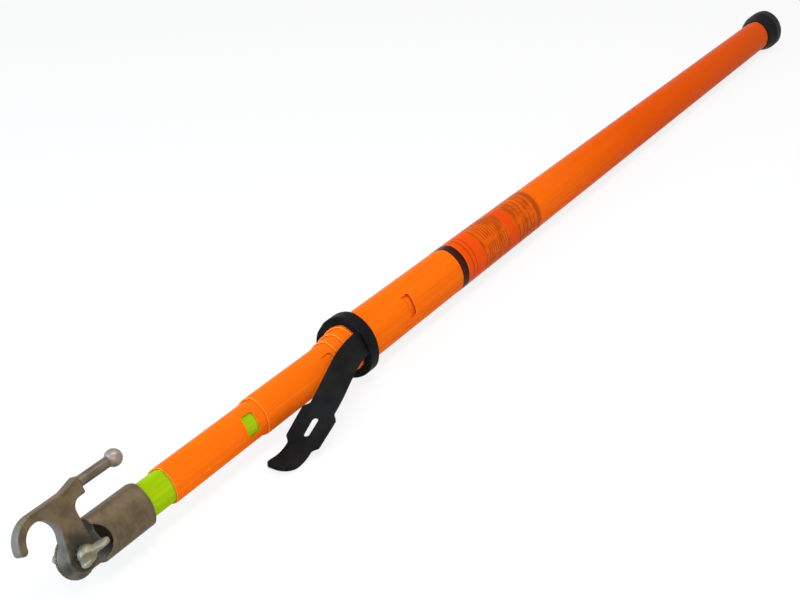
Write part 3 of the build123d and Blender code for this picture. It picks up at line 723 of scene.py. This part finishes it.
def thread_tree():
    """Screw thread: a pointed ridge swept along a helix."""
    tree, sockets, given, out = modifier_tree("screw thread", [("Helix radius", "NodeSocketFloat"),
                                                               ("Ridge size", "NodeSocketFloat"),
                                                               ("Length", "NodeSocketFloat"),
                                                               ("Turns", "NodeSocketFloat"),
                                                               ("Finish", "NodeSocketMaterial")])
    helix = geo(tree, "CurveSpiral", {"Resolution": HELIX_STEPS, "Rotations": given.outputs["Turns"],
                                      "Start Radius": given.outputs["Helix radius"],
                                      "End Radius": given.outputs["Helix radius"],
                                      "Height": given.outputs["Length"]})
    ridge = geo(tree, "CurvePrimitiveCircle", {"Resolution": RIDGE_CORNERS, "Radius": given.outputs["Ridge size"]})
    swept = geo(tree, "CurveToMesh", {"Curve": helix.outputs[0], "Profile Curve": ridge.outputs[0],
                                      "Fill Caps": True})
    end_tree(tree, swept.outputs[0], given.outputs["Finish"], out)
    return tree, sockets


def grow(piece, made_tree, **sizes):
    """Runs a geometry tree on the piece with these sizes and leaves a plain mesh."""
    tree, sockets = made_tree
    modifier = piece.modifiers.new(tree.name, "NODES")
    modifier.node_group = tree
    for label, value in sizes.items():
        modifier[sockets[label.replace("_", " ").capitalize()]] = value
    plain_mesh(piece)


RING_OF_COPIES = ring_tree()
SCREW_THREAD = thread_tree()


def on_pivot(depth):
    """From millimetres with local Z along the bolt's axis, starting at a depth out of the seat."""
    spot = FACE_FRAME @ Vector((BOLT_ALONG, depth, BOLT_UP))
    turned = Matrix((ALONG, -UPFACE, OUTWARD)).transposed().to_4x4()
    return Matrix.Scale(MM, 4) @ Matrix.Translation(spot) @ turned


# ---------------------------------------------------------------- wing screw and its washer

# Sizes in millimetres, with heights and depths along the bolt's axis, out of the seat
TURNED_STEPS, WASHER_STEPS, LEAF_STEPS = 40, 48, 24

BOLT_RADIUS, BOLT_END = 4.0, -28.0
BOLT_TIP = ((1.8, 0.2), (0.6, 0.9), (0.0, 2.2))     # rounded end: in from the thread's root, and on from the end
THREAD_START, THREAD_ROOT, THREAD_RIDGE, THREAD_TURNS = -12.8, 3.65, 0.34, 10.0
THREAD_LEAD, THREAD_SHORT = 2.3, 2.6                # from the bolt's end, and off the threaded length
THREAD_RUNOUT, SHANK_IN_HUB = 0.5, 1.0

HUB_LOW, HUB_HEIGHT, HUB_RADIUS, HUB_CHAMFER, HUB_WALL = 11.3, 9.0, 7.4, 0.6, 3.0
WING_TURN, WING_REACH, WING_HEIGHT, WING_RADIUS = 14.0, 15.0, 18.3, 5.4
# Cuts of a wing: spot, half width and half thickness; the neck's spot is back and down from the tip's centre
WING_ROOT = [(0.8, 4.0, 3.8, 3.8), (3.8, 6.0, 4.6, 3.6), (6.6, 8.8, 5.0, 3.2)]
WING_NECK = (0.8, 1.1, 5.2, 2.8)
TIP_LEAN, TIP_REACH = (0.66, 0.75), 0.98            # the way that the tip points, and how far of its radius
TIP_EDGE, TIP_SWELL = (0.3, 0.5), (4.9, 2.0)        # half width and thickness at its end, and what its root adds

WASHER_LOW, WASHER_HIGH, WASHER_RADIUS, WASHER_HALF, WASHER_PLAY = 9.65, 11.25, 8.5, 0.45, 0.05
TOOTH = ((-0.6, -1.3), (0.9, -1.1), (0.9, 1.1), (-0.6, 1.3))
TOOTH_COUNT, TOOTH_LENGTH, TOOTH_HALF, TOOTH_TWIST = 12, 1.7, 0.4, 0.3


def wing_stations():
    """Oval cuts of one wing, from inside the hub to its rounded tip."""
    x, y = WING_REACH - WING_RADIUS, WING_HEIGHT - WING_RADIUS
    stations = WING_ROOT + [(x - WING_NECK[0], y - WING_NECK[1], *WING_NECK[2:])]
    for angle in range(0, 91, 15):
        ahead, share = WING_RADIUS * sin(radians(angle)) * TIP_REACH, cos(radians(angle))
        stations.append((x + ahead * TIP_LEAN[0], y + ahead * TIP_LEAN[1],
                         TIP_EDGE[0] + TIP_SWELL[0] * share, TIP_EDGE[1] + TIP_SWELL[1] * sqrt(share)))
    return stations


def make_wing_screw():
    """Forged wing screw: domed hub with two upswept wings, plain shank and a threaded end."""
    editor = bmesh.new()
    upright = on_pivot(0)
    hub = [(0, HUB_LOW), (HUB_RADIUS - HUB_CHAMFER, HUB_LOW), (HUB_RADIUS, HUB_LOW + HUB_CHAMFER),
           (HUB_RADIUS, HUB_LOW + HUB_WALL)]
    hub += [(HUB_RADIUS * cos(radians(angle)), HUB_LOW + HUB_WALL + (HUB_HEIGHT - HUB_WALL) * sin(radians(angle)))
            for angle in range(10, 90, 10)]
    hub += [(0, HUB_LOW + HUB_HEIGHT)]
    turned_shape(editor, hub, TURNED_STEPS, upright)
    for hand in (0, pi):
        turn = Matrix.Rotation(hand + radians(WING_TURN), 4, "Z")
        stand = Matrix.Translation((0, 0, HUB_LOW)) @ turn @ Matrix.Rotation(pi / 2, 4, "X")
        leaf(editor, wing_stations(), LEAF_STEPS, upright @ stand)
    screw = new_piece("wing_screw", mesh_from(editor, "wing_screw"))
    melt_edges(screw, voxel=0.36, rounds=12)
    plain_mesh(screw)
    editor = bmesh.new()
    editor.from_mesh(screw.data)
    shank = [(0, BOLT_END)] + [(THREAD_ROOT - inside, BOLT_END + ahead) for inside, ahead in BOLT_TIP]
    shank += [(THREAD_ROOT, THREAD_START), (BOLT_RADIUS, THREAD_START + THREAD_RUNOUT),
              (BOLT_RADIUS, HUB_LOW + SHANK_IN_HUB), (0, HUB_LOW + SHANK_IN_HUB)]
    turned_shape(editor, shank, TURNED_STEPS, upright)
    screw.data = mesh_from(editor, "wing_screw")
    smooth(screw.data)
    wear_finish(screw, "wing", "plated_steel", zinc_plate, "wing_bolt")

    thread = new_piece("wing_screw_thread", bpy.data.meshes.new("wing_screw_thread"))
    grow(thread, SCREW_THREAD, helix_radius=THREAD_ROOT, ridge_size=THREAD_RIDGE,
         length=THREAD_START - BOLT_END - THREAD_SHORT, turns=THREAD_TURNS, finish=zinc_plate)
    thread.data.transform(on_pivot(BOLT_END + THREAD_LEAD))
    smooth(thread.data)
    wear_finish(thread, "wing", "plated_steel", None)


def make_toothed_washer():
    """Spring washer with twisted teeth round its rim."""
    editor = bmesh.new()
    inner, outer = BOLT_RADIUS + WASHER_PLAY, WASHER_RADIUS - TOOTH_LENGTH
    middle = (WASHER_LOW + WASHER_HIGH) / 2
    low, high = middle - WASHER_HALF, middle + WASHER_HALF
    ring = [(inner, low), (outer, low), (outer, high), (inner, high), (inner, low)]
    turned_shape(editor, ring, WASHER_STEPS, on_pivot(0))
    bmesh.ops.remove_doubles(editor, verts=editor.verts, dist=MERGE)
    washer = new_piece("lock_washer_ring", mesh_from(editor, "lock_washer_ring"))
    wear_finish(washer, "wing", "plated_steel", dark_steel, "lock_washer")

    editor = bmesh.new()
    flat_plate(editor, TOOTH, TOOTH_HALF)
    for corner in editor.verts:
        if corner.co.x > 0:
            corner.co.z += TOOTH_TWIST * corner.co.y
    teeth = new_piece("lock_washer_teeth", mesh_from(editor, "lock_washer_teeth"))
    grow(teeth, RING_OF_COPIES, count=TOOTH_COUNT, ring_radius=outer, finish=dark_steel)
    teeth.data.transform(on_pivot(middle))
    wear_finish(teeth, "wing", "plated_steel", None)


make_wing_screw()
make_toothed_washer()


# ---------------------------------------------------------------- castings

def soften_casting(node_name, piece_name, voxel, rounds, body, material):
    """The casting with its sharp corners melted, from a merged copy of the CAD node."""
    editor = bmesh.new()
    editor.from_mesh(node_objects[node_name].data)
    bmesh.ops.remove_doubles(editor, verts=editor.verts, dist=CAD_MERGE)
    mesh = bpy.data.meshes.new(piece_name)
    editor.to_mesh(mesh)
    editor.free()
    casting = new_piece(piece_name, mesh)
    melt_edges(casting, voxel, rounds)
    plain_mesh(casting)
    smooth(casting.data)
    wear_finish(casting, body, "cast_bronze", material, node_name)


soften_casting("hook_casting", "hook_cast", voxel=0.42, rounds=3, body="hook", material=cast_bronze)
soften_casting("spline_ferrule", "ferrule_cast", voxel=0.48, rounds=2, body="tip", material=ferrule_bronze)


# ---------------------------------------------------------------- leaf springs


def make_leaf_spring(number):
    """The leaf under a lock button, from a copy of the CAD node, on the body that its press joint hangs from."""
    node_name, joint_name = f"button_spring_{number}", f"button_{number}_press"
    press = next(joint for joint in frame["joints"] if joint["name"] == joint_name)
    spring = new_piece(f"leaf_spring_{number}", node_objects[node_name].data.copy())
    wear_finish(spring, press["parent"], "spring_steel", spring_steel, node_name)
    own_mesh(spring)


for number in SECTIONS:
    make_leaf_spring(number)


# ---------------------------------------------------------------- floor, light and camera, in metres and watts

WHITE = (1, 1, 1)
FLOOR_HALF, FLOOR_MIDDLE = 12.0, 0.9
FLOOR_TONE, FLOOR_WHITE = 0.86, 0.85                # its grey, and how much of the white studio it shows
SKY_LOW, SKY_HIGH, SKY_DIM, SKY_BRIGHT = 0.05, 0.75, 0.08, 0.5

# Each lamp's name, place, aim, width, height, power and tint
LAMPS = (("overhead strip", (1.35, 0.35, 2.0), (1.25, 0, 0), 2.4, 0.5, 31, WHITE),
         ("cool front box", (3.1, -0.9, 0.55), (1.7, 0, 0), 0.9, 0.9, 44, (0.48, 0.74, 1.0)),
         ("front fill", (2.5, 1.1, 0.75), (1.5, 0, 0), 0.8, 0.8, 7, WHITE),
         ("strip over the open stick", (6.3, 0.35, 2.0), (6.3, 0, 0), 5.2, 0.5, 56, WHITE))

CAMERA_SPOT = (2.23211, 0.56522, 0.56545)
CAMERA_RIGHT, CAMERA_UP = Vector((-0.51787, 0.85546, 0.0)), Vector((-0.39002, -0.23611, 0.89002))
LENS_MM, SENSOR_MM = 54.0, 36.0


def seen_directly(tree):
    """One for camera, mirror and glass rays, which see the pale studio; none for light on the object."""
    path = node(tree, "LightPath").outputs
    seen = maths(tree, "MAXIMUM", path["Is Camera Ray"], path["Is Glossy Ray"])
    return maths(tree, "MAXIMUM", seen, path["Is Transmission Ray"])


def make_floor():
    """Pale floor under the stick, which only the scene has."""
    editor = bmesh.new()
    bmesh.ops.create_grid(editor, x_segments=8, y_segments=8, size=FLOOR_HALF)
    floor = new_piece("studio_floor", mesh_from(editor, "studio_floor"))
    floor.data.transform(Matrix.Translation((FLOOR_MIDDLE, 0, FLOOR_LEVEL * MM)))
    material, tree, shader = finish_of("studio floor", specular=0.1)
    shader.inputs["Roughness"].default_value = 0.9
    shader.inputs["Base Color"].default_value = (FLOOR_TONE, FLOOR_TONE, FLOOR_TONE, 1)
    white = node(tree, "Emission", {"Color": (*WHITE, 1), "Strength": 1.0})
    mixed = node(tree, "MixShader", {0: scaled(tree, seen_directly(tree), FLOOR_WHITE)})
    tree.links.new(shader.outputs[0], mixed.inputs[1])
    tree.links.new(white.outputs[0], mixed.inputs[2])
    tree.links.new(mixed.outputs[0], tree.nodes["Material Output"].inputs["Surface"])
    floor.data.materials.append(material)


def soft_box(name, spot, target, wide, tall, power, tint):
    """Area lamp at a spot, aimed at its target."""
    lamp = bpy.data.lights.new(name, "AREA")
    lamp.shape = "RECTANGLE"
    lamp.size, lamp.size_y, lamp.energy, lamp.color = wide, tall, power, tint
    stand = bpy.data.objects.new(name, lamp)
    bpy.context.scene.collection.objects.link(stand)
    aim = (Vector(target) - Vector(spot)).to_track_quat("-Z", "Y")
    stand.matrix_world = Matrix.Translation(spot) @ aim.to_matrix().to_4x4()


def make_studio():
    """White background, which lights the object mostly from above, and the lamps."""
    scene = bpy.context.scene
    scene.view_settings.view_transform = "Standard"
    world = bpy.data.worlds.new("pale studio")
    scene.world = world
    world.use_nodes = True
    tree = world.node_tree
    sky = tree.nodes["Background"]
    sky.inputs["Color"].default_value = (*WHITE, 1)
    height = part_along(tree, object_place(tree), "Z")
    lighting = spread(tree, height, SKY_LOW, SKY_HIGH, SKY_DIM, SKY_BRIGHT)
    tree.links.new(maths(tree, "MAXIMUM", lighting, seen_directly(tree)), sky.inputs["Strength"])
    for lamp in LAMPS:
        soft_box(*lamp)


def make_camera():
    """The photograph's camera, as fitted to the tubes' edges."""
    lens = bpy.data.cameras.new("camera")
    lens.sensor_fit = "HORIZONTAL"
    lens.sensor_width = SENSOR_MM
    lens.lens = LENS_MM
    lens.clip_start, lens.clip_end = 0.01, 100
    camera = bpy.data.objects.new("camera", lens)
    bpy.context.scene.collection.objects.link(camera)
    turn = Matrix((CAMERA_RIGHT, CAMERA_UP, CAMERA_RIGHT.cross(CAMERA_UP))).transposed().to_4x4()
    camera.matrix_world = Matrix.Translation(CAMERA_SPOT) @ turn
    bpy.context.scene.camera = camera


make_floor()
make_studio()
make_camera()
